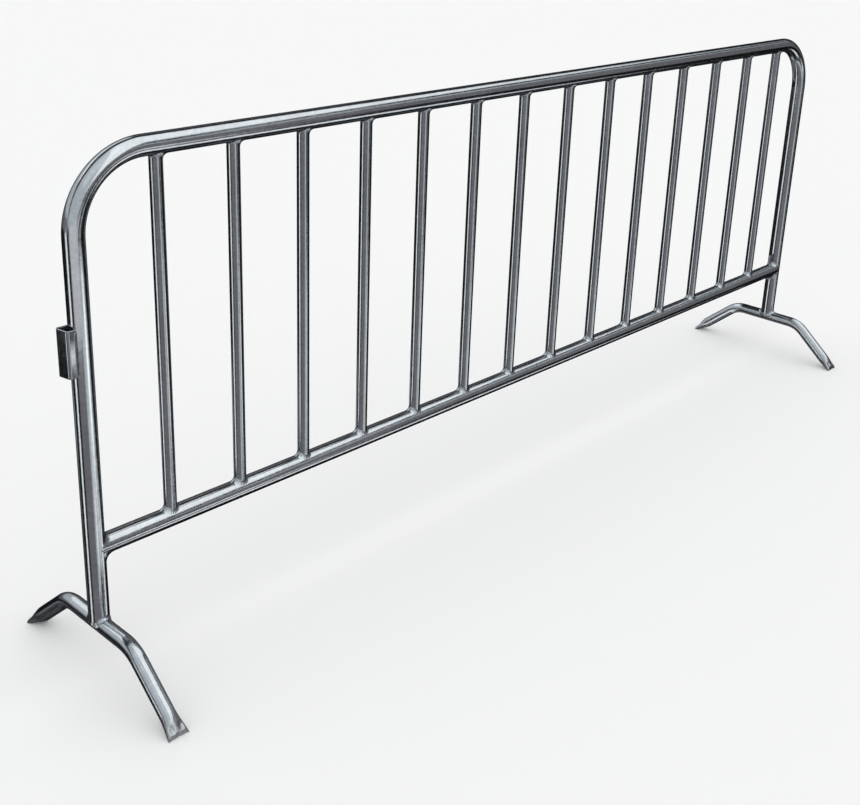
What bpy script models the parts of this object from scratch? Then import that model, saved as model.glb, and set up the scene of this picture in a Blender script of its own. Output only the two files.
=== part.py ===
"""Crowd control barrier: a welded, galvanised steel tube barrier on two fixed feet.

Metres, +Z up. X runs along the barrier, and Y is the direction that the crowd pushes in.
The origin is on the ground, under the middle of the barrier.
"""
import math

import bmesh
import bpy
from mathutils import Matrix, Vector

# Whole barrier
HEIGHT = 1.100              # ground to the top of the frame
LEG_SPACING = 2.684         # centre line to centre line of the two legs
RAIL_HEIGHT = 0.2970        # ground to the centre line of the bottom rail

# Tubes: outside diameter and wall
FRAME_TUBE = 0.0424
FRAME_WALL = 0.0020
FRAME_BEND = 0.150          # centre-line radius of the two top corners
LEG_OVERLAP = 0.12          # where a leg ends, above the foot's centre line, in foot diameters
BAR_TUBE = 0.0269
BAR_WALL = 0.0015
BAR_COUNT = 14
FOOT_TUBE = 0.0337
FOOT_WALL = 0.0025

# Feet
FOOT_HEIGHT = 0.1245        # ground to the centre line of the level middle of the foot
FOOT_KNEE = 0.118           # half the distance between the corners of the centre line
FOOT_REACH = 0.265          # half the length of the foot, over its ends
FOOT_BEND = 0.085           # centre-line radius at each knee
CRUSH_LENGTH = 0.062        # length over which the tube is crushed flat
CRUSH_WIDTH = 0.050
CRUSH_THICKNESS = 0.0095
SOLID_END = 0.034           # length of each end whose walls are crushed together
END_CENTRE = 0.0005         # ground to the centre line where the foot ends
VENT_DIAMETER = 0.008       # galvanising vent in the underside of the foot

# Coupling loop: a strap bent round in plan, on the outer side of the left leg
STRAP_THICKNESS = 0.004
LOOP_BOTTOM = 0.668
LOOP_TOP = 0.763
LOOP_OUT = 0.0415           # leg's centre line to the outer face, at the back
LOOP_OUT_FRONT = 0.0340     # the same at the front, where the strap leans in
LOOP_BACK = 0.0200          # half widths of the loop, behind and in front of the leg's centre
LOOP_FRONT = 0.0140
LOOP_CORNER = 0.0065        # outer radius of the strap's bends

# Coupling hook: a bent rod on the outer side of the right leg
HOOK_ROD = 0.010
HOOK_OUT = 0.0349           # leg's centre line to the rod's upright part
HOOK_TOP = 0.792
HOOK_BOTTOM = 0.668
HOOK_BEND = 0.009
HOOK_BACK = 0.008           # the rod stands a little behind the leg's centre, as the loop does

# Lug: a small upright tab in the corner of the bottom rail and the right leg
LUG_WIDTH = 0.018
LUG_THICKNESS = 0.005
LUG_HEIGHT = 0.034

GAP = 0.0003                # space left between two pieces that are welded together

FRAME_SIDES = 24
BAR_SIDES = 16
FOOT_SIDES = 20
ROD_SIDES = 12
CUTTER_SIDES = 32

LEG_X = LEG_SPACING / 2
TOP_HEIGHT = HEIGHT - FRAME_TUBE / 2
BAR_SPACING = LEG_SPACING / (BAR_COUNT + 1)

parts = None
cutters = None


def start_collections():
    """Empty the scene, and make one collection for the parts and one for the cutters."""
    global parts, cutters
    for thing in list(bpy.data.objects):
        bpy.data.objects.remove(thing, do_unlink=True)
    for group in list(bpy.data.collections):
        bpy.data.collections.remove(group)
    parts = bpy.data.collections.new("crowd_control_barrier")
    cutters = bpy.data.collections.new("cutters")
    for group in (parts, cutters):
        bpy.context.scene.collection.children.link(group)


def steel(name, colour, roughness):
    """A metal finish for one sub-part."""
    material = bpy.data.materials.new(name)
    material.use_nodes = True
    shader = material.node_tree.nodes["Principled BSDF"]
    shader.inputs["Base Color"].default_value = (*colour, 1.0)
    shader.inputs["Metallic"].default_value = 1.0
    shader.inputs["Roughness"].default_value = roughness
    return material


def add_part(name, mesh, material):
    """Put a mesh in the scene as a sub-part, smooth except at its real edges."""
    mesh.materials.clear()
    mesh.materials.append(material)
    mesh.shade_smooth()
    mesh.set_sharp_from_angle(angle=math.radians(35))
    part = bpy.data.objects.new(name, mesh)
    parts.objects.link(part)
    return part


def mesh_from(bm, name):
    """Turn a bmesh into a mesh."""
    bmesh.ops.recalc_face_normals(bm, faces=bm.faces)
    mesh = bpy.data.meshes.new(name)
    bm.to_mesh(mesh)
    bm.free()
    return mesh


def cylinder_cutter(name, start, end, radius):
    """A cutter whose flats, not its corners, stand at the radius."""
    start, end = Vector(start), Vector(end)
    bm = bmesh.new()
    outer = radius / math.cos(math.pi / CUTTER_SIDES)
    bmesh.ops.create_cone(bm, cap_ends=True, segments=CUTTER_SIDES, radius1=outer,
                          radius2=outer, depth=(end - start).length)
    return add_cutter(name, bm, (start + end) / 2, (end - start).to_track_quat("Z", "Y"))


def box_cutter(name, low, high):
    """A box cutter between two corners."""
    low, high = Vector(low), Vector(high)
    bm = bmesh.new()
    bmesh.ops.create_cube(bm, size=1.0)
    bmesh.ops.scale(bm, vec=high - low, verts=bm.verts)
    return add_cutter(name, bm, (low + high) / 2, None)


def add_cutter(name, bm, place, turn):
    """Put a bmesh in the scene as a cutter: a guide that isn't part of the barrier."""
    cutter = bpy.data.objects.new(name, mesh_from(bm, name))
    cutter.location = place
    if turn is not None:
        cutter.rotation_mode = "QUATERNION"
        cutter.rotation_quaternion = turn
    cutter.hide_render = True
    cutter.display_type = "WIRE"
    cutters.objects.link(cutter)
    return cutter


def cut(part, cutter, operation="DIFFERENCE"):
    """Cut one part with one cutter."""
    modifier = part.modifiers.new(cutter.name, "BOOLEAN")
    modifier.operation = operation
    modifier.solver = "EXACT"
    modifier.object = cutter


def rounded_path(corners, radius, steps):
    """Points along straight runs, with an arc of one radius at each inner corner."""
    corners = [Vector(corner) for corner in corners]
    points = [corners[0]]
    for before, corner, after in zip(corners, corners[1:], corners[2:]):
        inward = (before - corner).normalized()
        outward = (after - corner).normalized()
        half_angle = inward.angle(outward) / 2
        centre = corner + (inward + outward).normalized() * radius / math.sin(half_angle)
        first = corner + inward * radius / math.tan(half_angle) - centre
        last = corner + outward * radius / math.tan(half_angle) - centre
        axis = first.cross(last)
        for step in range(steps + 1):
            turn = Matrix.Rotation(first.angle(last) * step / steps, 3, axis)
            points.append(centre + turn @ first)
    points.append(corners[-1])
    return points


def swept_mesh(name, points, radius, sides, capped):
    """A round bar or an open tube skin along a path, as a welded mesh."""
    curve = bpy.data.curves.new(name, "CURVE")
    curve.dimensions = "3D"
    curve.bevel_mode = "ROUND"
    curve.bevel_depth = radius
    curve.bevel_resolution = sides // 2 - 2
    curve.use_fill_caps = capped
    spline = curve.splines.new("POLY")
    spline.points.add(len(points) - 1)
    for spot, point in zip(spline.points, points):
        spot.co = (*point, 1.0)
    holder = bpy.data.objects.new(name, curve)
    bpy.context.scene.collection.objects.link(holder)
    bpy.context.view_layer.update()
    evaluated = holder.evaluated_get(bpy.context.evaluated_depsgraph_get())
    mesh = bpy.data.meshes.new_from_object(evaluated)
    bpy.data.objects.remove(holder, do_unlink=True)
    bpy.data.curves.remove(curve)
    bm = bmesh.new()
    bm.from_mesh(mesh)
    bmesh.ops.remove_doubles(bm, verts=bm.verts, dist=0.00001)
    bmesh.ops.recalc_face_normals(bm, faces=bm.faces)
    bm.to_mesh(mesh)
    bm.free()
    return mesh


def add_tube(name, points, diameter, wall, sides, material):
    """A hollow tube along a path, with open ends."""
    tube = add_part(name, swept_mesh(name, points, diameter / 2, sides, False), material)
    shell = tube.modifiers.new("wall", "SOLIDIFY")
    shell.thickness = wall
    shell.offset = -1.0
    shell.use_even_offset = True
    return tube


def make_frame():
    """The outer frame: one tube bent into an inverted U, seated on the two feet."""
    leg_end = FOOT_HEIGHT + FOOT_TUBE * LEG_OVERLAP
    corners = [(-LEG_X, 0, leg_end), (-LEG_X, 0, TOP_HEIGHT),
               (LEG_X, 0, TOP_HEIGHT), (LEG_X, 0, leg_end)]
    frame = add_tube("frame_tube", rounded_path(corners, FRAME_BEND, 10), FRAME_TUBE,
                     FRAME_WALL, FRAME_SIDES, steel("frame_steel", (0.60, 0.63, 0.66), 0.22))
    for side, x in (("left", -LEG_X), ("right", LEG_X)):
        seat = cylinder_cutter(f"foot_seat_{side}", (x, -0.1, FOOT_HEIGHT),
                               (x, 0.1, FOOT_HEIGHT), FOOT_TUBE / 2 + GAP)
        cut(frame, seat)


def make_leg_cutters():
    """The space that the two legs take, with the gap round them."""
    return [cylinder_cutter(f"leg_space_{side}", (x, 0, FOOT_HEIGHT), (x, 0, TOP_HEIGHT),
                            FRAME_TUBE / 2 + GAP)
            for side, x in (("left", -LEG_X), ("right", LEG_X))]


def make_bottom_rail(leg_cutters):
    """The bottom rail, with a fish-mouth cut at each leg."""
    rail = add_tube("bottom_rail", [(-LEG_X, 0, RAIL_HEIGHT), (LEG_X, 0, RAIL_HEIGHT)],
                    FRAME_TUBE, FRAME_WALL, FRAME_SIDES,
                    steel("rail_steel", (0.56, 0.59, 0.62), 0.24))
    for cutter in leg_cutters:
        cut(rail, cutter)


def make_rail_cutters():
    """The space that the top and bottom rails take, with the gap round them."""
    return [cylinder_cutter(f"rail_space_{place}", (-LEG_X, 0, z), (LEG_X, 0, z),
                            FRAME_TUBE / 2 + GAP)
            for place, z in (("bottom", RAIL_HEIGHT), ("top", TOP_HEIGHT))]


def make_bars(rail_cutters):
    """The upright bars, evenly spaced, each cut to fit the two rails."""
    for number in range(1, BAR_COUNT + 1):
        x = -LEG_X + number * BAR_SPACING
        name = f"bar_{number:02d}"
        bar = add_tube(name, [(x, 0, RAIL_HEIGHT), (x, 0, TOP_HEIGHT)], BAR_TUBE, BAR_WALL,
                       BAR_SIDES, steel(f"{name}_steel", (0.52, 0.55, 0.58), 0.24))
        for cutter in rail_cutters:
            cut(bar, cutter)


def foot_stations():
    """Half of the foot's centre line, as (distance from the end, point, direction)."""
    slope = Vector((0, FOOT_REACH - FOOT_KNEE, END_CENTRE - FOOT_HEIGHT)).normalized()
    knee = Vector((0, FOOT_KNEE, FOOT_HEIGHT))
    end = knee + slope * ((FOOT_REACH - FOOT_KNEE) / slope.y + 0.012)
    run = (end - knee).length
    bent = rounded_path([(0, 0, FOOT_HEIGHT), knee, end], FOOT_BEND, 6)
    marks = [0.72, 0.60, 0.48, 0.36, 0.27, 0.18, 0.09]
    points = bent[:-1] + [end - slope * mark * run for mark in marks] + [end]
    stations = []
    for index, point in enumerate(points):
        before = points[max(index - 1, 0)]
        after = points[min(index + 1, len(points) - 1)]
        stations.append(((end - point).length, point, (after - before).normalized()))
    return stations


def foot_rings(inset):
    """Rings round the whole foot. An inset of one wall gives the hollow inside it."""
    half = foot_stations()
    whole = [(d, Vector((0, -p.y, p.z)), Vector((0, t.y, -t.z))) for d, p, t in reversed(half[1:])]
    whole += half
    rings = []
    for distance, point, direction in whole:
        if inset > 0 and distance < SOLID_END:
            continue
        crush = max(0.0, 1.0 - distance / CRUSH_LENGTH)
        crush = crush * crush * (3 - 2 * crush)
        wide = (FOOT_TUBE + (CRUSH_WIDTH - FOOT_TUBE) * crush) / 2 - inset
        thick = (FOOT_TUBE + (CRUSH_THICKNESS - FOOT_TUBE) * crush) / 2 - inset
        across = Vector((1, 0, 0))
        normal = across.cross(direction)
        ring = []
        for side in range(FOOT_SIDES):
            angle = math.tau * side / FOOT_SIDES
            ring.append(point + across * wide * math.cos(angle) + normal * thick * math.sin(angle))
        rings.append(ring)
    return rings


def loft(rings, name):
    """A closed skin through rings of equal length, with a cap at each end."""
    bm = bmesh.new()
    rows = [[bm.verts.new(point) for point in ring] for ring in rings]
    for row, after in zip(rows, rows[1:]):
        for side in range(len(row)):
            following = (side + 1) % len(row)
            bm.faces.new((row[side], row[following], after[following], after[side]))
    bm.faces.new(rows[0])
    bm.faces.new(rows[-1])
    return bm


def make_foot(side, x):
    """A foot: a bent tube whose ends are crushed flat and cut level with the ground."""
    name = f"foot_{side}"
    foot = add_part(name, mesh_from(loft(foot_rings(0.0), name), name),
                    steel(f"{name}_steel", (0.58, 0.61, 0.64), 0.26))
    foot.location.x = x
    hollow = add_cutter(f"{name}_hollow", loft(foot_rings(FOOT_WALL), name), (x, 0, 0), None)
    reach = box_cutter(f"{name}_reach", (x - 0.05, -FOOT_REACH, 0),
                       (x + 0.05, FOOT_REACH, FOOT_HEIGHT + FOOT_TUBE))
    vent = cylinder_cutter(f"{name}_vent", (x, 0, FOOT_HEIGHT - FOOT_TUBE),
                           (x, 0, FOOT_HEIGHT), VENT_DIAMETER / 2)
    cut(foot, hollow)
    cut(foot, reach, "INTERSECT")
    cut(foot, vent)


def make_coupling_loop(leg_cutter):
    """A flat strap bent round in plan, open above and below, welded to the left leg."""
    corners = [(-0.010, LOOP_BACK, 0), (-LOOP_OUT, LOOP_BACK, 0),
               (-LOOP_OUT_FRONT, -LOOP_FRONT, 0), (-0.010, -LOOP_FRONT, 0)]
    outline = rounded_path(corners, LOOP_CORNER, 6)
    bm = bmesh.new()
    low = [bm.verts.new((p.x - LEG_X, p.y, LOOP_BOTTOM)) for p in outline]
    high = [bm.verts.new((p.x - LEG_X, p.y, LOOP_TOP)) for p in outline]
    for index in range(len(outline) - 1):
        bm.faces.new((low[index], low[index + 1], high[index + 1], high[index]))
    mesh = bpy.data.meshes.new("coupling_loop")
    bm.to_mesh(mesh)
    bm.free()
    loop = add_part("coupling_loop", mesh, steel("strap_steel", (0.62, 0.65, 0.67), 0.28))
    strap = loop.modifiers.new("strap", "SOLIDIFY")
    strap.thickness = STRAP_THICKNESS
    strap.offset = -1.0
    strap.use_even_offset = True
    cut(loop, leg_cutter)


def make_coupling_hook(leg_cutter):
    """A bent rod, welded to the right leg, that drops into the next barrier's loop."""
    corners = [(LEG_X + 0.008, HOOK_BACK, HOOK_TOP), (LEG_X + HOOK_OUT, HOOK_BACK, HOOK_TOP),
               (LEG_X + HOOK_OUT, HOOK_BACK, HOOK_BOTTOM)]
    mesh = swept_mesh("coupling_hook", rounded_path(corners, HOOK_BEND, 6), HOOK_ROD / 2,
                      ROD_SIDES, True)
    hook = add_part("coupling_hook", mesh, steel("rod_steel", (0.62, 0.65, 0.67), 0.28))
    cut(hook, leg_cutter)


def make_corner_lug():
    """A small upright tab that stands on the bottom rail, against the right leg."""
    inner_face = LEG_X - FRAME_TUBE / 2 - GAP
    bm = bmesh.new()
    bmesh.ops.create_cube(bm, size=1.0)
    bmesh.ops.scale(bm, vec=(LUG_WIDTH, LUG_THICKNESS, LUG_HEIGHT), verts=bm.verts)
    lug = add_part("corner_lug", mesh_from(bm, "corner_lug"),
                   steel("lug_steel", (0.62, 0.65, 0.67), 0.28))
    rail_top = RAIL_HEIGHT + FRAME_TUBE / 2 + GAP
    lug.location = (inner_face - LUG_WIDTH / 2, 0, rail_top + LUG_HEIGHT / 2)
    edge = lug.modifiers.new("edge", "BEVEL")
    edge.width = 0.001
    edge.segments = 2


def main():
    start_collections()
    make_frame()
    leg_cutters = make_leg_cutters()
    make_bottom_rail(leg_cutters)
    make_bars(make_rail_cutters())
    make_foot("left", -LEG_X)
    make_foot("right", LEG_X)
    make_coupling_loop(leg_cutters[0])
    make_coupling_hook(leg_cutters[1])
    make_corner_lug()


main()
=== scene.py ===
"""The looks of a crowd control barrier: bright galvanised steel tube, welded at every joint.

Metres, +Z up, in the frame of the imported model. Smooth tubes, feet and coupling pieces stand for
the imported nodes, and a weld bead is added at each joint. Everything rides on the one body, root.
"""
import math

import bmesh
import bpy
from mathutils import Matrix, Vector


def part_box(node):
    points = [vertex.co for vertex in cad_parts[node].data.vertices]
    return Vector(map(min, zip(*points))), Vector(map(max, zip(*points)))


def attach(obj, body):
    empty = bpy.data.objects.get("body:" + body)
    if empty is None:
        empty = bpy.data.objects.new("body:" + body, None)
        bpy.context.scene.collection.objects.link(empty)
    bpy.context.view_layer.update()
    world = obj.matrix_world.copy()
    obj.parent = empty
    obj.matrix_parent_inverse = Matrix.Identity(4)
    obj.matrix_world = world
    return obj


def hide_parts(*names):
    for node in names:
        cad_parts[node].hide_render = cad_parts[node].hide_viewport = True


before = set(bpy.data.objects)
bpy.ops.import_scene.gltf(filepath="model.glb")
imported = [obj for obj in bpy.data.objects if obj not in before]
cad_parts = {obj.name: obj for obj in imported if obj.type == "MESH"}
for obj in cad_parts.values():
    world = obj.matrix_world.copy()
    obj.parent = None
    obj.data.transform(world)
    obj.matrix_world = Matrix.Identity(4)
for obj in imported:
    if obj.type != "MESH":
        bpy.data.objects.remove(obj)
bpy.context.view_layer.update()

X_AXIS = Vector((1, 0, 0))
Y_AXIS = Vector((0, 1, 0))
Z_AXIS = Vector((0, 0, 1))


def centre(node):
    low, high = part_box(node)
    return (low + high) / 2


def size(node):
    low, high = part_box(node)
    return high - low


# Places and outside sizes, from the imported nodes
BARS = sorted(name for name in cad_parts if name.startswith("bar_"))
SIDES = (("left", -1), ("right", 1))
LEG_X = centre("foot_right").x
FRAME_RADIUS = size("frame_tube").y / 2
TOP_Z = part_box("frame_tube")[1].z - FRAME_RADIUS
RAIL_RADIUS = size("bottom_rail").z / 2
RAIL_Z = centre("bottom_rail").z
BAR_RADIUS = size("bar_01").x / 2
FOOT_REACH = size("foot_left").y / 2
FOOT_TUBE = 0.0337          # outside diameter
FOOT_RADIUS = FOOT_TUBE / 2
FOOT_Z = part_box("foot_left")[1].z - FOOT_RADIUS

# Tube walls and bends
FRAME_WALL = 0.0020
FRAME_BEND = 0.150
BEND_FLATTENING = 0.030     # share of the radius that a bend loses in its own plane
BAR_WALL = 0.0015
LEG_OVERLAP = 0.0040        # foot's centre line up to the leg's end, where it overhangs the foot
LEG_STRAIGHT = 0.012        # foot tube up to the leg's first plain ring
RAIL_STRAIGHT = 0.010       # surface of the crossing tube to the first plain ring of a rail or bar
SEAT_GAP = 0.0003

# Feet
FOOT_KNEE = 0.118
FOOT_BEND = 0.085
FOOT_END_Z = 0.0005         # ground to the centre line where the foot ends
FOOT_RUN_OUT = 0.012        # how far the rings go on past the cut end
FOOT_SPACING = 0.0025       # between the rings of a foot's straight arm
CRUSH_LENGTH = 0.062
CRUSH_WIDTH = size("foot_left").x
CRUSH_THICKNESS = 0.0095
CRUSH_PINCH = 0.30          # share of its thickness that a crushed end loses in its middle
CRUSH_LOBES = 0.55          # and the share that it gains at its two sides
SOLE_Z = 0.0002
END_HOLLOW = 0.0012         # how far the cut end stands back in its middle
END_RIPPLE = 0.0006
DIMPLE_OFFSET = 0.0105      # each side of the foot's middle
DIMPLE_FROM_END = 0.030
DIMPLE_RADIUS = 0.0090
DIMPLE_DEPTH = 0.0026
DIMPLE_SQUEEZE = 0.7        # its width over its length
SLIT_Z = 0.0030             # ground to the slit between the crushed walls
SLIT_HALF = 0.0005          # half its height
SLIT_PROFILE = ((0.0, 1.0), (0.004, 0.98), (0.020, 0.85))    # depth, share of the mouth's width
SLIT_FROM_SIDE = 0.005
SLIT_LOBES = 1.2            # how much wider the slit is at its two sides

# Coupling pieces
STRAP = 0.004
STRAP_EDGE = 0.0009
LOOP_ROOT = 0.012           # leg's centre line to the strap's hidden ends
LOOP_OUT_FRONT = 0.0340     # leg's centre line to the strap's outer face, at the front
LOOP_CORNER = 0.0045
ROD_RADIUS = size("coupling_hook").y / 2
HOOK_ROOT = 0.014           # leg's centre line to the rod's hidden end
HOOK_BEND = 0.009
HOOK_TIP = 0.0035           # how far the rod's lower end is rounded
LUG_EDGE = 0.0008

# How finely round things are cut
TUBE_STEPS = 72
BAR_STEPS = 48
BEND_STEPS = 40
FOOT_BEND_STEPS = 20
LOOP_BEND_STEPS = 14
HOOK_BEND_STEPS = 16
ROD_STEPS = 32
TIP_STEPS = 6
BEAD_STEPS = 10
WELD_STATIONS = 180

# Welds
WELD_INSET = 0.0009         # how far a bead's hidden side sits inside the tubes
TOE_INSET = 0.0001
WELD_RIPPLE = 0.00016
WELD_PITCH = 0.0034
BAR_BEAD = (0.0062, 0.0125)     # smallest and largest reach of a bead along its tubes
RAIL_BEAD = (0.0115, 0.0200)
BAR_BULGE = 0.0004
RAIL_BULGE = 0.0006
FOOT_BEAD = 0.0085
FOOT_BEAD_WRAP = 1.80       # how far round the foot its bead reaches, in radians
FOOT_BULGE = (0.0005, 0.0040)   # beside the foot's top, and where the leg overhangs the foot
FOOT_BEAD_DROP = 0.001
FOOT_BEAD_DEPTH = 0.003
STRAP_BEAD = 0.0040
STRAP_BEAD_MARGIN = 0.004   # left bare at each end of the strap's joint
ROD_BEAD = 0.0035
LUG_BEAD = 0.0030
STRAIGHT_WELD_SPACING = 0.0006
STRAIGHT_WELD_TAPER = 0.004     # length over which a straight bead grows from nothing


# ---------------------------------------------------------------- mesh work

def loft(name, rings, closed=False, sharp=40, merge=False):
    """A closed body through rings of equal length. A closed loft joins its last ring to its first.

    merge joins the points of different rings that share one place.
    """
    bm = bmesh.new()
    rows = [[bm.verts.new(point) for point in ring] for ring in rings]
    pairs = list(zip(rows, rows[1:]))
    if closed:
        pairs.append((rows[-1], rows[0]))
    for row, after in pairs:
        for side, vertex in enumerate(row):
            following = (side + 1) % len(row)
            bm.faces.new((vertex, row[following], after[following], after[side]))
    if not closed:
        bm.faces.new(rows[0])
        bm.faces.new(rows[-1])
    if merge:
        bmesh.ops.remove_doubles(bm, verts=bm.verts, dist=1e-6)
    bmesh.ops.recalc_face_normals(bm, faces=bm.faces)
    mesh = bpy.data.meshes.new(name)
    bm.to_mesh(mesh)
    bm.free()
    mesh.shade_smooth()
    mesh.set_sharp_from_angle(angle=math.radians(sharp))
    piece = bpy.data.objects.new(name, mesh)
    bpy.context.scene.collection.objects.link(piece)
    return piece


def add_piece(piece, material, slot, *nodes):
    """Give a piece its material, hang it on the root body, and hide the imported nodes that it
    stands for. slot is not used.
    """
    piece.data.materials.append(material)
    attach(piece, "root")
    if nodes:
        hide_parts(*nodes)
    return piece


def rounded_path(corners, radius, steps):
    """Points along straight runs, with an arc of one radius at each inner corner."""
    corners = [Vector(corner) for corner in corners]
    points = [corners[0]]
    for before, corner, after in zip(corners, corners[1:], corners[2:]):
        inward = (before - corner).normalized()
        outward = (after - corner).normalized()
        half_angle = inward.angle(outward) / 2
        arc_centre = corner + (inward + outward).normalized() * radius / math.sin(half_angle)
        first = corner + inward * radius / math.tan(half_angle) - arc_centre
        last = corner + outward * radius / math.tan(half_angle) - arc_centre
        axis = first.cross(last)
        for step in range(steps + 1):
            turn = Matrix.Rotation(first.angle(last) * step / steps, 3, axis)
            points.append(arc_centre + turn @ first)
    points.append(corners[-1])
    return points


def directions(points):
    """The way that a path runs at each of its points."""
    last = len(points) - 1
    return [(points[min(i + 1, last)] - points[max(i - 1, 0)]).normalized()
            for i in range(last + 1)]


def bend_share(direction, straight_axes):
    """0 where a path runs along one of the axes, up to 1 halfway through a right-angle bend."""
    nearest = max(abs(direction.dot(axis)) for axis in straight_axes)
    return (1 - nearest) / (1 - math.sqrt(0.5))


def circle(steps):
    return [math.tau * step / steps for step in range(steps)]


def smooth(share):
    share = min(max(share, 0.0), 1.0)
    return share * share * (3 - 2 * share)


def mix(start, end, share):
    return start + (end - start) * share


# ---------------------------------------------------------------- tubes

def foot_top(x):
    """Where a leg's end sits: on the foot tube, or just above its middle where it overhangs."""
    reach = FOOT_RADIUS + SEAT_GAP
    over = math.sqrt(max(reach * reach - x * x, 0.0))
    return FOOT_Z + max(LEG_OVERLAP, over)


def frame_rings(radius):
    """Rings along the inverted U, slightly flattened in its bends, seated on the two feet."""
    leg_start = FOOT_Z + FOOT_RADIUS + LEG_STRAIGHT
    corners = [(-LEG_X, 0, leg_start), (-LEG_X, 0, TOP_Z), (LEG_X, 0, TOP_Z), (LEG_X, 0, leg_start)]
    path = rounded_path(corners, FRAME_BEND, BEND_STEPS)
    rings = []
    for point, direction in zip(path, directions(path)):
        across = direction.cross(Y_AXIS)
        flat = BEND_FLATTENING * bend_share(direction, (X_AXIS, Z_AXIS))
        rings.append([point + across * radius * (1 - flat) * math.cos(angle)
                      + Y_AXIS * radius * (1 + flat / 2) * math.sin(angle)
                      for angle in circle(TUBE_STEPS)])
    left_seat = [Vector((p.x, p.y, foot_top(p.x + LEG_X))) for p in rings[0]]
    right_seat = [Vector((p.x, p.y, foot_top(p.x - LEG_X))) for p in rings[-1]]
    return [left_seat, *rings, right_seat]


def make_frame(material):
    rings = frame_rings(FRAME_RADIUS) + frame_rings(FRAME_RADIUS - FRAME_WALL)[::-1]
    tube = loft("frame_tube_smooth", rings, closed=True)
    return add_piece(tube, material, "frame_steel", "frame_tube")


def make_bottom_rail(material):
    """The bottom rail, with a fish-mouth at each leg."""
    plain_x = LEG_X - FRAME_RADIUS - RAIL_STRAIGHT

    def rings(radius):
        made = []
        for side in (-1, 1):
            mouth = []
            plain = []
            for angle in circle(TUBE_STEPS):
                y, z = radius * math.sin(angle), radius * math.cos(angle)
                inner = math.sqrt(max((FRAME_RADIUS + SEAT_GAP) ** 2 - y * y, 0.0))
                mouth.append(Vector((side * (LEG_X - inner), y, RAIL_Z + z)))
                plain.append(Vector((side * plain_x, y, RAIL_Z + z)))
            made += [mouth, plain] if side < 0 else [plain, mouth]
        return made

    walls = rings(RAIL_RADIUS) + rings(RAIL_RADIUS - FRAME_WALL)[::-1]
    rail = loft("bottom_rail_smooth", walls, closed=True)
    add_piece(rail, material, "frame_steel", "bottom_rail")


def make_bar(node, material):
    """An upright bar, cut to fit the two rails."""
    x = centre(node).x

    def rings(radius):
        low, low_plain, high_plain, high = [], [], [], []
        for angle in circle(BAR_STEPS):
            px, py = x + radius * math.cos(angle), radius * math.sin(angle)
            rise = math.sqrt((RAIL_RADIUS + SEAT_GAP) ** 2 - py * py)
            low.append(Vector((px, py, RAIL_Z + rise)))
            low_plain.append(Vector((px, py, RAIL_Z + RAIL_RADIUS + RAIL_STRAIGHT)))
            high_plain.append(Vector((px, py, TOP_Z - RAIL_RADIUS - RAIL_STRAIGHT)))
            high.append(Vector((px, py, TOP_Z - rise)))
        return [low, low_plain, high_plain, high]

    walls = rings(BAR_RADIUS) + rings(BAR_RADIUS - BAR_WALL)[::-1]
    bar = loft(f"{node}_smooth", walls, closed=True)
    add_piece(bar, material, "bar_steel", node)


# ---------------------------------------------------------------- feet

def foot_stations():
    """Half of a foot's centre line, as (distance from the end, point, direction)."""
    knee = Vector((0, FOOT_KNEE, FOOT_Z))
    slope = Vector((0, FOOT_REACH - FOOT_KNEE, FOOT_END_Z - FOOT_Z)).normalized()
    end = knee + slope * ((FOOT_REACH - FOOT_KNEE) / slope.y + FOOT_RUN_OUT)
    bent = rounded_path([(0, 0, FOOT_Z), knee, end], FOOT_BEND, FOOT_BEND_STEPS)
    count = int((end - bent[-2]).length / FOOT_SPACING)
    points = bent[:-1] + [bent[-2].lerp(end, step / count) for step in range(1, count + 1)]
    return [((end - point).length, point, direction)
            for point, direction in zip(points, directions(points))]


def foot_section(distance, angle):
    """One point of the foot's section, as (across, above the centre line)."""
    crush = smooth(1.0 - distance / CRUSH_LENGTH)
    wide = mix(FOOT_RADIUS, CRUSH_WIDTH / 2, crush)
    thick = mix(FOOT_RADIUS, CRUSH_THICKNESS / 2, crush)
    across = wide * math.cos(angle)
    pinch = 1 - CRUSH_PINCH * crush * (1 - smooth(abs(across) / wide))
    lobes = 1 + CRUSH_LOBES * crush * abs(math.cos(angle)) ** 3
    above = thick * math.sin(angle) * lobes * pinch
    if above > 0:
        away = math.hypot(abs(across) - DIMPLE_OFFSET, (distance - DIMPLE_FROM_END) * DIMPLE_SQUEEZE)
        above -= DIMPLE_DEPTH * smooth(1.0 - away / DIMPLE_RADIUS)
    return across, above


def end_wave(across):
    """How far the crushed end's edge stands back from the foot's full reach."""
    share = across / (CRUSH_WIDTH / 2)
    return END_HOLLOW * (1 - share * share) + END_RIPPLE * (1 + math.cos(3 * math.pi * share))


def foot_rings():
    """Rings over half of a foot. A point that has reached the cut end stays where it met it."""
    ended = {}
    rings = []
    for distance, point, direction in foot_stations():
        normal = X_AXIS.cross(direction)
        ring = []
        for angle in circle(TUBE_STEPS):
            across, above = foot_section(distance, angle)
            spot = point + X_AXIS * across + normal * above
            past = spot.y - (FOOT_REACH - end_wave(across))
            if past > 0:
                spot = ended.setdefault(angle, spot - direction * past / direction.y)
            ring.append(Vector((spot.x, spot.y, max(spot.z, SOLE_Z))))
        rings.append(ring)
    return rings


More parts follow.
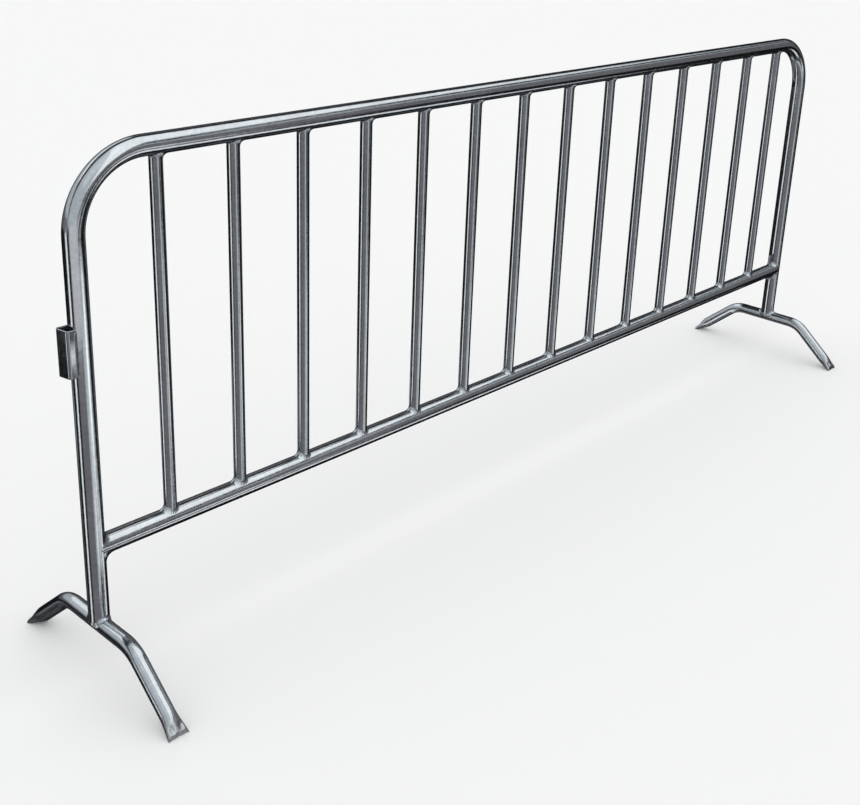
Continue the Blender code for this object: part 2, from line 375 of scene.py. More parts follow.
def slit_rings():
    """Rings down the slit between the crushed walls, from its mouth inwards."""
    inward = Vector((0, FOOT_KNEE - FOOT_REACH, FOOT_Z - FOOT_END_Z)).normalized()
    rings = []
    for depth, width_share in SLIT_PROFILE:
        half_width = (CRUSH_WIDTH / 2 - SLIT_FROM_SIDE) * width_share
        ring = []
        for angle in circle(TUBE_STEPS):
            across = half_width * math.cos(angle)
            lobes = 1 + SLIT_LOBES * abs(math.cos(angle)) ** 3
            spot = Vector((across, FOOT_REACH - end_wave(across), SLIT_Z))
            spot += inward * depth + Z_AXIS * SLIT_HALF * lobes * math.sin(angle)
            ring.append(spot)
        rings.append(ring)
    return rings


def make_foot(side, sign, material):
    """A bent tube whose two ends are crushed flat, flared, cut upright and level underneath."""
    half = foot_rings() + slit_rings()
    mirrored = [[Vector((p.x, -p.y, p.z)) for p in ring] for ring in reversed(half[1:])]
    foot = loft(f"foot_{side}_smooth", mirrored + half, sharp=50, merge=True)
    foot.data.transform(Matrix.Translation((sign * LEG_X, 0, 0)))
    add_piece(foot, material, "foot_steel", f"foot_{side}")


# ---------------------------------------------------------------- coupling pieces

def rounded_rectangle(half_width, half_height, edge, steps=4):
    """A rectangle's outline with round corners, about its centre."""
    points = []
    for quarter, (x_sign, y_sign) in enumerate(((1, 1), (-1, 1), (-1, -1), (1, -1))):
        for step in range(steps + 1):
            angle = math.pi / 2 * (quarter + step / steps)
            points.append((x_sign * (half_width - edge) + edge * math.cos(angle),
                           y_sign * (half_height - edge) + edge * math.sin(angle)))
    return points


def make_coupling_loop(material):
    """A flat strap bent round in plan, welded to the outer side of the left leg."""
    low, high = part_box("coupling_loop")
    half = STRAP / 2
    leg_side = -LEG_X - LOOP_ROOT
    front_x = -LEG_X - LOOP_OUT_FRONT + half
    corners = [(leg_side, high.y - half, 0), (low.x + half, high.y - half, 0),
               (front_x, low.y + half, 0), (leg_side, low.y + half, 0)]
    path = rounded_path(corners, LOOP_CORNER, LOOP_BEND_STEPS)
    outline = rounded_rectangle(half, (high.z - low.z) / 2, STRAP_EDGE)
    middle = Z_AXIS * (low.z + high.z) / 2
    rings = [[point + middle + direction.cross(Z_AXIS) * u + Z_AXIS * v for u, v in outline]
             for point, direction in zip(path, directions(path))]
    add_piece(loft("coupling_loop_smooth", rings), material, "coupler_steel", "coupling_loop")


def make_coupling_hook(material):
    """A bent rod on the outer side of the right leg, with a rounded lower tip."""
    low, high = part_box("coupling_hook")
    y = (low.y + high.y) / 2
    out = high.x - ROD_RADIUS
    top = high.z - ROD_RADIUS
    corners = [(LEG_X + HOOK_ROOT, y, top), (out, y, top), (out, y, low.z + HOOK_TIP)]
    path = rounded_path(corners, HOOK_BEND, HOOK_BEND_STEPS)
    radii = [ROD_RADIUS] * len(path)
    for step in range(1, TIP_STEPS + 1):
        turn = math.pi / 2 * step / (TIP_STEPS + 0.5)
        path.append(Vector((out, y, low.z + HOOK_TIP * (1 - math.sin(turn)))))
        radii.append(ROD_RADIUS - HOOK_TIP * (1 - math.cos(turn)))
    rings = []
    for point, direction, radius in zip(path, directions(path), radii):
        across = direction.cross(Y_AXIS)
        rings.append([point + across * radius * math.cos(a) + Y_AXIS * radius * math.sin(a)
                      for a in circle(ROD_STEPS)])
    add_piece(loft("coupling_hook_smooth", rings), material, "coupler_steel", "coupling_hook")


def make_corner_lug(material):
    """A small upright tab with softened edges, in the corner of the rail and the right leg."""
    low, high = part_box("corner_lug")
    middle = (low + high) / 2
    half_x = (high.x - low.x) / 2
    half_y = (high.y - low.y) / 2
    outline = rounded_rectangle(half_x, half_y, LUG_EDGE)
    rings = []
    for below_top, inset in ((high.z - low.z, 0.0), (LUG_EDGE, 0.0),
                             (LUG_EDGE * 0.3, LUG_EDGE * 0.3), (0.0, LUG_EDGE)):
        rings.append([Vector((middle.x + u * (1 - inset / half_x), v * (1 - inset / half_y),
                              high.z - below_top)) for u, v in outline])
    add_piece(loft("corner_lug_smooth", rings), material, "coupler_steel", "corner_lug")


# ---------------------------------------------------------------- welds

def bead_section(toe_a, corner, toe_b, hidden, ripple):
    """One slice through a bead: a hollow curve between its toes, and its hidden side."""
    outward = (corner - (hidden[0] + hidden[-1]) / 2).normalized()
    points = []
    for step in range(BEAD_STEPS + 1):
        t = step / BEAD_STEPS
        point = toe_a * (1 - t) ** 2 + corner * 2 * t * (1 - t) + toe_b * t ** 2
        points.append(point + outward * ripple * math.sin(math.pi * t))
    return points + hidden


def weld_ripple(arc_length):
    """The low ripples that a weld leaves along its length."""
    return WELD_RIPPLE * math.cos(math.tau * arc_length / WELD_PITCH)


def branch_weld(name, origin, branch_axis, run_axis, run_radius, branch_radius, bead, offset=0.0):
    """A bead round the joint of a branch tube that stands on the side of a run tube.

    bead(angle) gives its reach along both tubes and its bulge, at each angle round the branch.
    offset moves the branch off the run's centre line, across both axes.
    """
    side_axis = branch_axis.cross(run_axis)
    round_length = math.tau * branch_radius
    sections = []
    for angle in circle(WELD_STATIONS):
        reach, bulge = bead(angle)
        along = branch_radius * math.cos(angle)
        aside = offset + branch_radius * math.sin(angle)
        turn = math.asin(max(-1.0, min(1.0, aside / run_radius)))
        rise = run_radius * math.cos(turn)
        corner = origin + run_axis * along + side_axis * aside + branch_axis * rise
        toe_branch = corner + branch_axis * reach
        run_turn = turn + reach * math.sin(angle) / run_radius
        run_along = along + reach * math.cos(angle)

        def on_run(radius, turned=run_turn, slid=run_along):
            return (origin + run_axis * slid + side_axis * radius * math.sin(turned)
                    + branch_axis * radius * math.cos(turned))

        toe_run = on_run(run_radius - TOE_INSET)
        inward = (run_axis * math.cos(angle) + side_axis * math.sin(angle)) * WELD_INSET
        hidden = [on_run(run_radius - WELD_INSET), corner - inward - branch_axis * WELD_INSET,
                  toe_branch - inward]
        outward = (toe_branch + toe_run) / 2 - corner
        control = corner + outward.normalized() * bulge
        ripple = weld_ripple(round_length * angle / math.tau)
        sections.append(bead_section(toe_branch - inward * 0.1, control, toe_run, hidden, ripple))
    return loft(name, sections, closed=True, sharp=60)


def bar_bead(towards):
    """Bead sizes for a bar: largest on the side that faces along the given X direction."""
    def sizes(angle):
        lean = smooth((math.cos(angle) * towards + 0.2) / 1.2)
        return mix(*BAR_BEAD, lean), BAR_BULGE

    return sizes


def even_bead(reach, bulge):
    return lambda angle: (reach, bulge)


def rail_bead(angle):
    """Bead sizes for the bottom rail on a leg: larger under the rail than above it."""
    lower = smooth((1 - math.cos(angle)) / 2)
    return mix(*RAIL_BEAD, lower), RAIL_BULGE


def make_bar_welds(node, material):
    x = centre(node).x
    for place, z, up in (("lower", RAIL_Z, 1), ("upper", TOP_Z, -1)):
        # The bead is fuller on the right of each bar at the top, and on its left at the bottom
        weld = branch_weld(f"{node}_{place}_weld", Vector((x, 0, z)), Z_AXIS * up, X_AXIS,
                           RAIL_RADIUS, BAR_RADIUS, bar_bead(-up))
        add_piece(weld, material, "bar_steel")


def make_rail_welds(material):
    for side, sign in SIDES:
        weld = branch_weld(f"rail_{side}_weld", Vector((sign * LEG_X, 0, RAIL_Z)), X_AXIS * -sign,
                           Z_AXIS, FRAME_RADIUS, RAIL_RADIUS, rail_bead)
        add_piece(weld, material, "frame_steel")


def make_foot_welds(material):
    """The bead between each leg and its foot, which the wider leg straddles."""
    for side, sign in SIDES:
        leg = Vector((sign * LEG_X, 0, 0))
        sections = []
        for angle in circle(WELD_STATIONS):
            outward = Vector((math.cos(angle), math.sin(angle), 0))
            rim = leg + outward * FRAME_RADIUS
            rim.z = foot_top(outward.x * FRAME_RADIUS)
            overhang = outward.x ** 2
            turn = FOOT_BEAD_WRAP * math.cos(angle)
            along = (FRAME_RADIUS + FOOT_BEAD) * math.sin(angle)

            def on_foot(radius, turned=turn, slid=along):
                return Vector((sign * LEG_X + radius * math.sin(turned), slid,
                               FOOT_Z + radius * math.cos(turned)))

            toe_foot = on_foot(FOOT_RADIUS - TOE_INSET)
            toe_leg = rim + Z_AXIS * FOOT_BEAD
            drop = Z_AXIS * FOOT_BEAD_DROP
            control = rim + outward * mix(*FOOT_BULGE, overhang) - drop * overhang
            hidden = [on_foot(FOOT_RADIUS - WELD_INSET), rim - outward * FOOT_BEAD_DEPTH - drop,
                      toe_leg - outward * WELD_INSET]
            ripple = weld_ripple(FRAME_RADIUS * angle)
            sections.append(bead_section(toe_leg - outward * TOE_INSET, control, toe_foot, hidden,
                                         ripple))
        weld = loft(f"foot_{side}_weld", sections, closed=True, sharp=60)
        add_piece(weld, material, "foot_steel")


def straight_weld(name, start, end, wall_a, wall_b, reach, material):
    """A straight bead in the corner between two walls, tapering to nothing at both ends.

    wall_a and wall_b point from the corner along each wall.
    """
    start, end = Vector(start), Vector(end)
    length = (end - start).length
    count = int(length / STRAIGHT_WELD_SPACING)
    sections = []
    for step in range(count + 1):
        share = step / count
        from_end = min(share, 1 - share) * length
        grow = max(math.sqrt(min(from_end / STRAIGHT_WELD_TAPER, 1.0)), 0.02)
        corner = start.lerp(end, share)
        toe_a = corner + wall_a * reach * grow
        toe_b = corner + wall_b * reach * grow
        inward = -(wall_a + wall_b).normalized() * WELD_INSET * grow
        control = corner - inward * 1.5
        hidden = [toe_b + inward, corner + inward, toe_a + inward]
        sections.append(bead_section(toe_a, control, toe_b, hidden, weld_ripple(length * share)))
    add_piece(loft(name, sections, sharp=60), material, "coupler_steel")


def make_coupler_welds(material):
    """Beads down both ends of the loop's strap, round the hook's rod, and beside the lug."""
    low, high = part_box("coupling_loop")
    for name, y, outward in (("back", high.y, 1), ("front", low.y, -1)):
        x = -LEG_X - math.sqrt(FRAME_RADIUS ** 2 - y * y)
        tangent = Vector((-y, -LEG_X - x, 0)).normalized() * outward
        straight_weld(f"loop_{name}_weld", (x, y, low.z + STRAP_BEAD_MARGIN),
                      (x, y, high.z - STRAP_BEAD_MARGIN), -X_AXIS, tangent, STRAP_BEAD, material)
    low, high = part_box("coupling_hook")
    hook_z = high.z - ROD_RADIUS
    hook_y = (low.y + high.y) / 2
    weld = branch_weld("hook_weld", Vector((LEG_X, 0, hook_z)), X_AXIS, Z_AXIS, FRAME_RADIUS,
                       ROD_RADIUS, even_bead(ROD_BEAD, BAR_BULGE), offset=-hook_y)
    add_piece(weld, material, "coupler_steel")
    low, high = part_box("corner_lug")
    for name, y, outward in (("back", high.y, 1), ("front", low.y, -1)):
        rail_z = RAIL_Z + math.sqrt(RAIL_RADIUS ** 2 - y * y)
        straight_weld(f"lug_{name}_weld", (low.x, y, rail_z), (high.x, y, rail_z),
                      Z_AXIS, Y_AXIS * outward, LUG_BEAD, material)


# ---------------------------------------------------------------- materials

# Pattern scales, in features per metre
SPANGLE_SCALE = 130.0
SPANGLE_WOBBLE_SCALE = 160.0
SPANGLE_WOBBLE = 0.006      # metres that the crystals' borders wander
CLOUD_SCALE = 9.0
SCUFF_SCALE = 38.0
WAVE_SCALE = 26.0
MARK_SCALES = {
    "x": (2.0, 900.0, 900.0),
    "y": (900.0, 2.0, 900.0),
    "z": (900.0, 900.0, 2.0),
    "none": (420.0, 420.0, 420.0)}
SCUFFED_ZINC = (0.42, 0.42, 0.43)
DIRT = (0.20, 0.19, 0.175)
EDGE_TINT = (0.05, 0.05, 0.06, 1.0)     # keeps the steel dark where it is seen edge on


def add_node(tree, kind, inputs=(), **settings):
    """A shader node. inputs pairs a socket with a value or with another node's output."""
    node = tree.nodes.new(kind)
    for name, value in settings.items():
        setattr(node, name, value)
    for socket, value in dict(inputs).items():
        if isinstance(value, bpy.types.NodeSocket):
            tree.links.new(value, node.inputs[socket])
        else:
            node.inputs[socket].default_value = value
    return node


def calculate(tree, operation, first, second=0.0, third=0.0):
    return add_node(tree, "ShaderNodeMath", {0: first, 1: second, 2: third},
                    operation=operation).outputs[0]


def product(tree, *values):
    result = values[0]
    for value in values[1:]:
        result = calculate(tree, "MULTIPLY", result, value)
    return result


def remap(tree, value, from_low, from_high, to_low, to_high):
    node = add_node(tree, "ShaderNodeMapRange",
                    {0: value, 1: from_low, 2: from_high, 3: to_low, 4: to_high}, clamp=True)
    return node.outputs[0]


def fade(tree, value, absent, full):
    """0 where a value is at absent, 1 where it is at full, and held beyond both."""
    return remap(tree, value, absent, full, 0.0, 1.0)


def between(tree, value, low, high, soft):
    """1 between two values and 0 outside them, over a soft edge at each."""
    return product(tree, fade(tree, value, low - soft, low + soft),
                   fade(tree, value, high + soft, high - soft))


def blend_colours(tree, share, first, second, kind="MIX"):
    """A blend of two colours. Each is another node's output, or red, green and blue."""
    inputs = {0: share}
    for socket, colour in ((6, first), (7, second)):
        inputs[socket] = colour if isinstance(colour, bpy.types.NodeSocket) else (*colour, 1.0)
    return add_node(tree, "ShaderNodeMix", inputs, data_type="RGBA", blend_type=kind).outputs[2]


def ramp(tree, value, stops):
    node = add_node(tree, "ShaderNodeValToRGB", {0: value})
    while len(node.color_ramp.elements) < len(stops):
        node.color_ramp.elements.new(1.0)
    for element, (place, colour) in zip(node.color_ramp.elements, stops):
        element.position = place
        element.color = (*colour, 1.0)
    return node.outputs[0]


def noise(tree, place, scale, detail, roughness=0.5):
    """A noise texture's outputs: its value first, and its colour."""
    return add_node(tree, "ShaderNodeTexNoise",
                    {"Vector": place, "Scale": scale, "Detail": detail,
                     "Roughness": roughness}).outputs


def stretched_marks(tree, place, grain):
    """Fine marks drawn out along one axis, or even speckle where grain names no axis."""
    scaled = add_node(tree, "ShaderNodeMapping", {"Vector": place, "Scale": MARK_SCALES[grain]})
    return noise(tree, scaled.outputs[0], 1.0, 3.0)[0]


def draw_marks(tree, place, grain):
    """Marks along a tube. On the frame they run along its top and down its legs."""
    if grain != "frame":
        return stretched_marks(tree, place, grain)
    along = add_node(tree, "ShaderNodeSeparateXYZ", {0: place}).outputs["X"]
    leg_share = fade(tree, calculate(tree, "ABSOLUTE", along), LEG_X - 0.7 * FRAME_BEND,
                     LEG_X - 0.3 * FRAME_BEND)
    return add_node(tree, "ShaderNodeMix", {0: leg_share, 2: stretched_marks(tree, place, "x"),
                                            3: stretched_marks(tree, place, "z")}).outputs[0]


def zinc_spangle(tree, place):
    """Zinc crystals with ragged borders, as a Voronoi texture's outputs."""
    wobble = noise(tree, place, SPANGLE_WOBBLE_SCALE, 2.0)["Color"]
    ragged = add_node(tree, "ShaderNodeVectorMath", {0: wobble, 1: (SPANGLE_WOBBLE,) * 3},
                      operation="MULTIPLY")
    shifted = add_node(tree, "ShaderNodeVectorMath", {0: place, 1: ragged.outputs[0]},
                       operation="ADD")
    return add_node(tree, "ShaderNodeTexVoronoi",
                    {"Vector": shifted.outputs[0], "Scale": SPANGLE_SCALE}).outputs


def bump(tree, height, strength, distance, normal=None):
    inputs = {"Strength": strength, "Distance": distance, "Height": height}
    if normal is not None:
        inputs["Normal"] = normal
    return add_node(tree, "ShaderNodeBump", inputs).outputs[0]


def galvanised(name, colour, grain, roughness, dirt_height=0.0, mark_relief=0.06):
    """Bright galvanised steel. grain is the axis that the tube's draw marks run along."""
    material = bpy.data.materials.new(name)
    material.use_nodes = True
    tree = material.node_tree
    shader = tree.nodes["Principled BSDF"]
    place = add_node(tree, "ShaderNodeTexCoord").outputs["Object"]
    crystals = zinc_spangle(tree, place)
    crystal = add_node(tree, "ShaderNodeSeparateColor", {0: crystals["Color"]}).outputs[0]
    marks = draw_marks(tree, place, grain)
    cloud = noise(tree, place, CLOUD_SCALE, 5.0, 0.6)[0]
    scuffs = fade(tree, noise(tree, place, SCUFF_SCALE, 8.0, 0.75)[0], 0.60, 0.72)

    # Colour: a little apart from crystal to crystal, cloudy, and dull where it is scuffed
    darker = [channel * 0.94 for channel in colour]
    lighter = [channel * 1.05 for channel in colour]
    zinc = blend_colours(tree, crystal, darker, lighter)
    cloudy = remap(tree, cloud, 0.35, 0.65, 0.88, 1.0)
    grey = add_node(tree, "ShaderNodeCombineColor", {0: cloudy, 1: cloudy, 2: cloudy}).outputs[0]
    zinc = blend_colours(tree, 1.0, zinc, grey, "MULTIPLY")
    zinc = blend_colours(tree, product(tree, scuffs, 0.30), zinc, SCUFFED_ZINC)
    rough = roughness
    for layer, weight in ((crystal, 0.05), (scuffs, 0.12), (marks, 0.05)):
        rough = calculate(tree, "MULTIPLY_ADD", layer, weight, rough)
    if dirt_height > 0:
        height = add_node(tree, "ShaderNodeSeparateXYZ", {0: place}).outputs["Z"]
        dirt = product(tree, fade(tree, height, dirt_height, 0.0), fade(tree, cloud, 0.30, 0.62))
        zinc = blend_colours(tree, product(tree, dirt, 0.55), zinc, DIRT)
        rough = calculate(tree, "MULTIPLY_ADD", dirt, 0.25, rough)
    tree.links.new(zinc, shader.inputs["Base Color"])
    tree.links.new(rough, shader.inputs["Roughness"])

    # Relief: a slow waviness that bends reflections, the marks, and the crystals' borders
    relief = bump(tree, noise(tree, place, WAVE_SCALE, 1.0)[0], 0.35, 0.0007)
    relief = bump(tree, marks, mark_relief, 0.0003, relief)
    relief = bump(tree, crystals["Distance"], 0.10, 0.0004, relief)
    tree.links.new(relief, shader.inputs["Normal"])
    shader.inputs["Metallic"].default_value = 1.0
    shader.inputs["Specular Tint"].default_value = EDGE_TINT
    return material


# ---------------------------------------------------------------- studio

FLOOR_SIZE = 60.0
FLOOR_COLOUR = (0.945, 0.945, 0.945)
BACKDROP = (0.93, 0.93, 0.93)
ROOM = (0.965, 0.965, 0.965)    # even light on everything that isn't a mirror

# The studio that the steel mirrors, in these greys. All its angles are in degrees, and each pair
# named FADE runs from where a thing is absent to where it is full.
BLACK = (0.012, 0.012, 0.013)
DARK = (0.205, 0.195, 0.205)
DIM = (0.42, 0.43, 0.45)
MID = (0.62, 0.66, 0.69)
PALE = (1.30, 1.32, 1.33)
WHITE = (1.0, 1.0, 1.0)
VIEWER_BEARING = 37.8       # anticlockwise from +X, of the way that the viewer looks
WANDER = 6.0                # how far the edges of the studio's panels wander

# Upright strips, by bearing, which the bars and legs mirror
WALLS = (
    (-180, DIM), (-176, DIM), (-173, PALE), (-163, PALE), (-160, DIM), (-152, DIM),
    (-148, BLACK), (-66, BLACK), (-62, PALE), (-48, PALE), (-44, BLACK), (-27, BLACK),
    (-23, DARK), (41, DARK), (45, MID), (66, MID), (69, BLACK), (82, BLACK), (85, DARK),
    (93, DARK), (96, BLACK), (148, BLACK), (152, DIM), (180, DIM))
# For the far arms of the feet: dark grey, under one thin paler line
ARM_BEARINGS = (-168.0, -97.0)
ARM_RISE_FADE = (-25.0, -27.0)
ARM_LINE_RISES = (-26.5, -23.0)
# For the front face of the coupling loop: one pale patch
LOOP_BEARINGS = (72.0, 90.0)
LOOP_RISES = (-27.0, -18.5)

# The ceiling, by angle over the barrier, begins just below the horizon
CEILING_RISE_FADE = (-9.0, -7.0)
# Its panel narrows to the right. A black line and a grey line run along the panel's edge.
PANEL_START = -31.0         # angle over the barrier of the panel's edge, at X = 0
PANEL_TAPER = 140.0         # and how much that grows for each unit along X
PANEL_EDGE = (
    (-180, DARK), (-35, DARK), (-32, MID), (-24, MID), (-21, BLACK), (-7, BLACK), (-3, WHITE),
    (180, WHITE))
PANEL_FADE = (-7.0, -3.0)
PANEL = ((0.0, PALE), (0.81, PALE), (0.86, MID), (0.91, DARK))
# Beyond the panel on both sides
FAR_SIDE_FADE = (102.0, 105.0)
NEAR_SIDE_FADE = (14.0, 6.0)
BOTH_SIDES = (
    (-180, DARK), (0, DARK), (14, DARK), (102, BLACK), (126, BLACK), (132, DARK), (180, DARK))
# A grey left end, for the top left bend
LEFT_END_FADE = (-0.06, -0.10)
LEFT_END_OVER = (-8.0, 102.0)
LEFT_END_RISE_FADE = (-5.0, -3.0)
# Low on the far side: what the level runs of the feet mirror, paler towards the top
FEET_OVER_FADE = (128.0, 130.0)
FEET_X_FADE = (0.42, 0.38)
FEET_RISE_FADE = (4.0, 7.0)
FEET_PALE_RISE_FADE = (34.5, 36.0)

# Well below the horizon on the right: one thin line, for the undersides of the rails
UNDERSIDE = ((-180, BLACK), (-62, BLACK), (-60, PALE), (-48, PALE), (-45, BLACK), (180, BLACK))
UNDERSIDE_OVER_FADE = (-41.0, -44.0)
UNDERSIDE_X_FADE = (0.40, 0.46)
UNDERSIDE_RISE_FADE = (-28.0, -31.0)

# Cards by the left leg: name, height aimed at, bearing, rise, distance, width, height
LEG_CARDS = (
    ("upper_leg_card", 0.845, 13.0, -12.0, 1.00, 1.16, 0.54),
    ("lower_leg_card", 0.600, 84.0, -25.0, 0.50, 0.36, 0.70))
CARD_BRIGHTNESS = 0.42
CARD_POWER = 4.0            # watts for each square metre and each unit of brightness

LAMP_ENERGY = 0.10
LAMP_WIDTH = 50             # degrees of sky that the lamp covers
LAMP_TURN = (28, -20, 0)

CAMERA_PLACE = (-2.4072, -1.8726, 1.5767)
CAMERA_HEADING = 43.08      # degrees, anticlockwise from +X
CAMERA_TILT = -19.75
CAMERA_ROLL = 2.1
CAMERA_LENS = 50.52
CAMERA_SHIFT = -0.1192


def make_camera():
    data = bpy.data.cameras.new("camera")
    data.lens = CAMERA_LENS
    data.sensor_width = 36.0
    data.sensor_fit = "HORIZONTAL"
    data.shift_y = CAMERA_SHIFT
    data.clip_end = 200.0
    camera = bpy.data.objects.new("camera", data)
    bpy.context.scene.collection.objects.link(camera)
    camera.rotation_mode = "QUATERNION"
    turn = (Matrix.Rotation(math.radians(CAMERA_HEADING - 90), 3, "Z")
            @ Matrix.Rotation(math.radians(90 + CAMERA_TILT), 3, "X")
            @ Matrix.Rotation(math.radians(CAMERA_ROLL), 3, "Z"))
    camera.rotation_quaternion = turn.to_quaternion()
    camera.location = CAMERA_PLACE
    bpy.context.scene.camera = camera


def make_floor():
    """A plain pale floor. Its reflection is left out of the steel, which mirrors the studio."""
    bm = bmesh.new()
    bmesh.ops.create_grid(bm, x_segments=4, y_segments=4, size=FLOOR_SIZE / 2)
    mesh = bpy.data.meshes.new("floor")
    bm.to_mesh(mesh)
    bm.free()
    floor = bpy.data.objects.new("floor", mesh)
    bpy.context.scene.collection.objects.link(floor)
    material = bpy.data.materials.new("floor_paper")
    material.use_nodes = True
    shader = material.node_tree.nodes["Principled BSDF"]
    shader.inputs["Base Color"].default_value = (*FLOOR_COLOUR, 1.0)
    shader.inputs["Roughness"].default_value = 1.0
    shader.inputs["Specular IOR Level"].default_value = 0.0
    floor.data.materials.append(material)
    floor.visible_glossy = False


def degrees_ramp(tree, degrees, stops):
    """A ramp over -180 to 180 degrees."""
    share = calculate(tree, "MULTIPLY_ADD", degrees, 1 / 360, 0.5)
    return ramp(tree, share, [((angle + 180) / 360, colour) for angle, colour in stops])


def studio_angles(tree):
    """Which way a mirrored ray leaves, as its X component and three angles.

    bearing turns from the viewer, rise is up from the horizon, and over goes across the barrier
    from the viewer's side (0) through straight up (90) to its far side (180).
    """
    way = add_node(tree, "ShaderNodeTexCoord").outputs["Generated"]
    x, y, z = add_node(tree, "ShaderNodeSeparateXYZ", {0: way}).outputs
    wander = calculate(tree, "MULTIPLY_ADD", noise(tree, way, 3.5, 1.0)[0], 2 * WANDER, -WANDER)
    to_degrees = 180 / math.pi
    bearing = product(tree, calculate(tree, "ARCTAN2", y, x), to_degrees)
    bearing = calculate(tree, "ADD", calculate(tree, "ADD", bearing, 180 - VIEWER_BEARING), wander)
    bearing = calculate(tree, "WRAP", bearing, 180.0, -180.0)
    rise = product(tree, calculate(tree, "ARCSINE", z), to_degrees)
    over = calculate(tree, "ARCTAN2", z, product(tree, y, -1.0))
    over = calculate(tree, "MULTIPLY_ADD", over, to_degrees, wander)
    return x, bearing, rise, over


def studio_walls(tree, bearing, rise):
    walls = degrees_ramp(tree, bearing, WALLS)
    arms = between(tree, bearing, *ARM_BEARINGS, 3.0)
    dark_arms = product(tree, arms, fade(tree, rise, *ARM_RISE_FADE))
    walls = blend_colours(tree, dark_arms, walls, DARK)
    arm_line = product(tree, arms, between(tree, rise, *ARM_LINE_RISES, 0.7))
    walls = blend_colours(tree, arm_line, walls, MID)
    loop_patch = product(tree, between(tree, bearing, *LOOP_BEARINGS, 1.5),
                         between(tree, rise, *LOOP_RISES, 1.0))
    return blend_colours(tree, loop_patch, walls, PALE)


def studio_ceiling(tree, x, rise, over):
    panel_edge = calculate(tree, "MULTIPLY_ADD", x, PANEL_TAPER, PANEL_START)
    inside = calculate(tree, "SUBTRACT", over, panel_edge)
    ceiling = blend_colours(tree, fade(tree, inside, *PANEL_FADE),
                            degrees_ramp(tree, inside, PANEL_EDGE), ramp(tree, x, PANEL))
    beyond = calculate(tree, "MAXIMUM", fade(tree, over, *FAR_SIDE_FADE),
                       fade(tree, over, *NEAR_SIDE_FADE))
    ceiling = blend_colours(tree, beyond, ceiling, degrees_ramp(tree, over, BOTH_SIDES))
    left_end = product(tree, fade(tree, x, *LEFT_END_FADE), between(tree, over, *LEFT_END_OVER, 1.5),
                       fade(tree, rise, *LEFT_END_RISE_FADE))
    ceiling = blend_colours(tree, left_end, ceiling, MID)
    feet = product(tree, fade(tree, over, *FEET_OVER_FADE), fade(tree, x, *FEET_X_FADE),
                   fade(tree, rise, *FEET_RISE_FADE))
    feet_light = blend_colours(tree, fade(tree, rise, *FEET_PALE_RISE_FADE), MID, PALE)
    return blend_colours(tree, feet, ceiling, feet_light)


def make_studio():
    """The studio that the steel mirrors. The viewer sees a plain backdrop instead."""
    world = bpy.data.worlds.new("studio")
    bpy.context.scene.world = world
    world.use_nodes = True
    tree = world.node_tree
    x, bearing, rise, over = studio_angles(tree)
    light = blend_colours(tree, fade(tree, rise, *CEILING_RISE_FADE),
                          studio_walls(tree, bearing, rise), studio_ceiling(tree, x, rise, over))
    low_right = product(tree, fade(tree, over, *UNDERSIDE_OVER_FADE),
                        fade(tree, x, *UNDERSIDE_X_FADE), fade(tree, rise, *UNDERSIDE_RISE_FADE))
    light = blend_colours(tree, low_right, light, degrees_ramp(tree, over, UNDERSIDE))
    path = add_node(tree, "ShaderNodeLightPath").outputs
    light = blend_colours(tree, path["Is Diffuse Ray"], light, ROOM)
    light = blend_colours(tree, path["Is Camera Ray"], light, BACKDROP)
    background = tree.nodes["Background"]
    tree.links.new(light, background.inputs["Color"])
    background.inputs["Strength"].default_value = 1.0


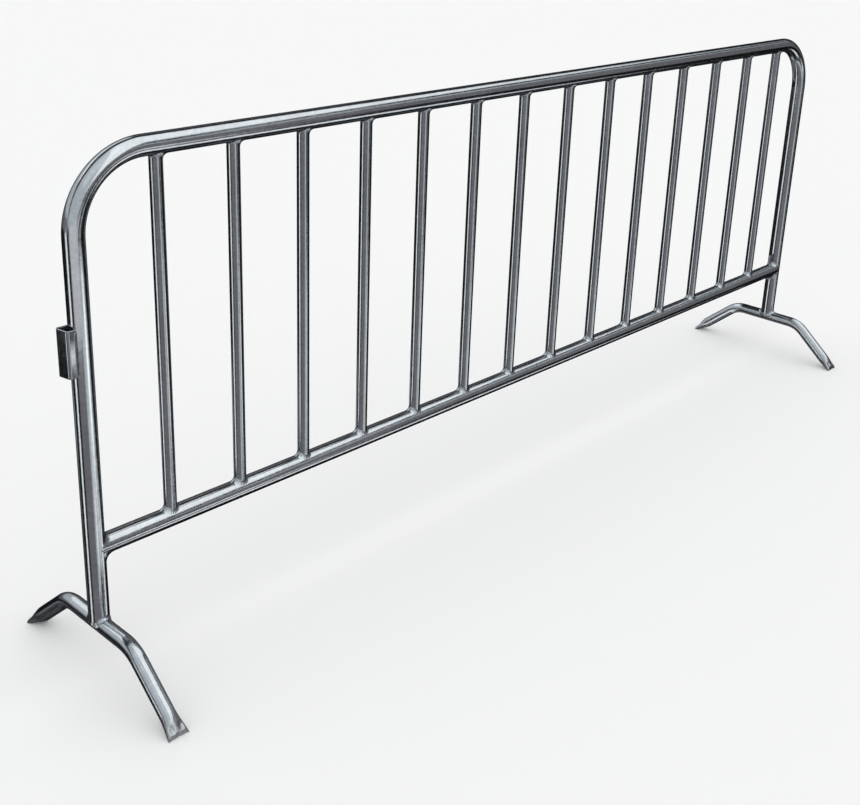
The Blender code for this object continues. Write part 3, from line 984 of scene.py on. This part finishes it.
def make_leg_cards(frame_tube):
    """Two dim cards near the left leg. Only the frame tube mirrors them."""
    receivers = bpy.data.collections.new("leg_card_receivers")
    receivers.objects.link(frame_tube)
    for name, aim_z, bearing, rise, distance, width, height in LEG_CARDS:
        data = bpy.data.lights.new(name, "AREA")
        data.shape = "RECTANGLE"
        data.size = width
        data.size_y = height
        data.energy = CARD_POWER * width * height * CARD_BRIGHTNESS
        card = bpy.data.objects.new(name, data)
        bpy.context.scene.collection.objects.link(card)
        heading = math.radians(180 + VIEWER_BEARING + bearing)
        fall = math.radians(rise)
        way = Vector((math.cos(heading) * math.cos(fall), math.sin(heading) * math.cos(fall),
                      math.sin(fall)))
        card.location = Vector((-LEG_X, 0, aim_z)) + way * distance
        card.rotation_mode = "QUATERNION"
        card.rotation_quaternion = (-way).to_track_quat("-Z", "Y")
        card.visible_camera = False
        card.visible_diffuse = False
        card.light_linking.receiver_collection = receivers


def make_lights():
    """One wide, soft lamp from high up."""
    data = bpy.data.lights.new("soft_key", "SUN")
    data.energy = LAMP_ENERGY
    data.angle = math.radians(LAMP_WIDTH)
    lamp = bpy.data.objects.new("soft_key", data)
    bpy.context.scene.collection.objects.link(lamp)
    lamp.rotation_euler = [math.radians(turn) for turn in LAMP_TURN]
    view = bpy.context.scene.view_settings
    view.view_transform = "Standard"
    view.look = "None"


# ---------------------------------------------------------------- the whole scene

def main():
    make_camera()
    make_studio()
    make_lights()
    make_floor()
    rail_steel = galvanised("rail_steel", (0.615, 0.65, 0.675), "x", 0.11)
    frame_steel = galvanised("frame_steel", (0.605, 0.64, 0.665), "frame", 0.11)
    bar_steel = galvanised("bar_steel", (0.60, 0.635, 0.66), "z", 0.11)
    foot_steel = galvanised("foot_steel", (0.605, 0.64, 0.665), "y", 0.13, dirt_height=0.05)
    strap_steel = galvanised("strap_steel", (0.60, 0.635, 0.66), "z", 0.15)
    weld_steel = galvanised("weld_steel", (0.56, 0.60, 0.625), "none", 0.18, mark_relief=0.12)
    make_leg_cards(make_frame(frame_steel))
    make_bottom_rail(rail_steel)
    for node in BARS:
        make_bar(node, bar_steel)
        make_bar_welds(node, weld_steel)
    for side, sign in SIDES:
        make_foot(side, sign, foot_steel)
    make_coupling_loop(strap_steel)
    make_coupling_hook(strap_steel)
    make_corner_lug(strap_steel)
    make_rail_welds(weld_steel)
    make_foot_welds(weld_steel)
    make_coupler_welds(weld_steel)


main()
